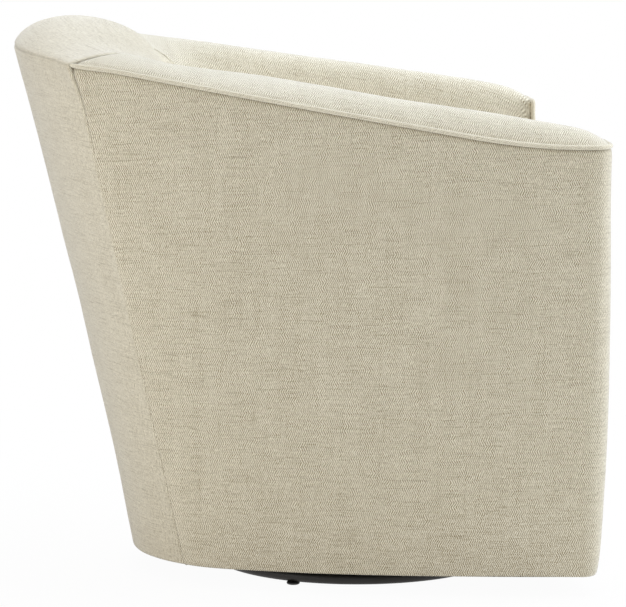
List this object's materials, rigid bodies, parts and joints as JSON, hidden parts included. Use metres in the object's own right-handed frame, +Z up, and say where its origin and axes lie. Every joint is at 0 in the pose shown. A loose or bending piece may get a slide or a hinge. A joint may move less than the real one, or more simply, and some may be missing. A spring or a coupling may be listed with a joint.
{
  "type": "swivel barrel chair",
  "caption": "Upholstered tub armchair with sloping rolled arms, a raked back and a loose-look seat cushion, turning on a low steel ring swivel base.",
  "frame": {"origin": "on the floor, under the middle of the chair's overall box with the seat facing straight ahead; the swivel axis is 84.0 mm in front of it", "axes": "+Z up; the chair faces -Y, its back is towards +Y; +X is the sitter's left arm"},
  "size_m": [0.6786, 0.774, 0.7636],
  "materials": {
    "linen": "matte",
    "piping": "matte",
    "black_cloth": "matte",
    "hardwood": "matte",
    "plywood": "matte",
    "black_steel": "satin",
    "zinc_steel": "satin",
    "spring_steel": "satin",
    "black_plastic": "matte"
  },
  "bodies": {
    "base": {"base_ring": "black_steel", "floor_glide_1": "black_plastic", "floor_glide_2": "black_plastic", "floor_glide_3": "black_plastic", "floor_glide_4": "black_plastic", "lower_bearing_plate": "zinc_steel", "center_rivet": "zinc_steel", "base_bolt_1": "zinc_steel", "base_bolt_2": "zinc_steel", "base_bolt_3": "zinc_steel", "base_bolt_4": "zinc_steel"},
    "ball_cage": {"ball_retainer": "zinc_steel"},
    "chair": {"upper_bearing_plate": "zinc_steel", "plate_screw_1": "zinc_steel", "plate_screw_2": "zinc_steel", "plate_screw_3": "zinc_steel", "plate_screw_4": "zinc_steel", "floor_panel": "plywood", "dust_cover": "black_cloth", "front_post_left": "hardwood", "front_post_right": "hardwood", "back_post_left": "hardwood", "back_post_right": "hardwood", "front_foot_block_left": "hardwood", "front_foot_block_right": "hardwood", "back_foot_block_left": "hardwood", "back_foot_block_right": "hardwood", "front_seat_rail": "hardwood", "arm_rail_left": "hardwood", "arm_rail_right": "hardwood", "back_rail": "hardwood", "side_former_left": "plywood", "side_former_right": "plywood", "back_former": "plywood", "seat_spring_1": "spring_steel", "seat_spring_2": "spring_steel", "seat_spring_3": "spring_steel", "seat_spring_4": "spring_steel", "seat_spring_5": "spring_steel", "outside_arm_left": "linen", "outside_arm_right": "linen", "outside_back": "linen", "inside_arm_left": "linen", "inside_arm_right": "linen", "arm_band_left": "linen", "arm_band_right": "linen", "inside_back": "linen", "front_cover": "linen", "seat_deck": "linen", "seat_cushion": "linen", "arm_welt_left": "piping", "arm_welt_right": "piping", "cushion_welt_top": "piping", "cushion_welt_bottom": "piping"}
  },
  "joints": [
    {"name": "swivel", "type": "hinge", "parent": "base", "child": "chair", "pos_m": [0, -0.08403, 0.0239], "axis": [0, 0, 1], "continuous": true},
    {"name": "ball_cage_turn", "type": "hinge", "parent": "base", "child": "ball_cage", "pos_m": [0, -0.08403, 0.0196], "axis": [0, 0, 1], "continuous": true}
  ],
  "couplings": [
    {"joint": "ball_cage_turn", "follows": "swivel", "ratio": 0.5}
  ]
}
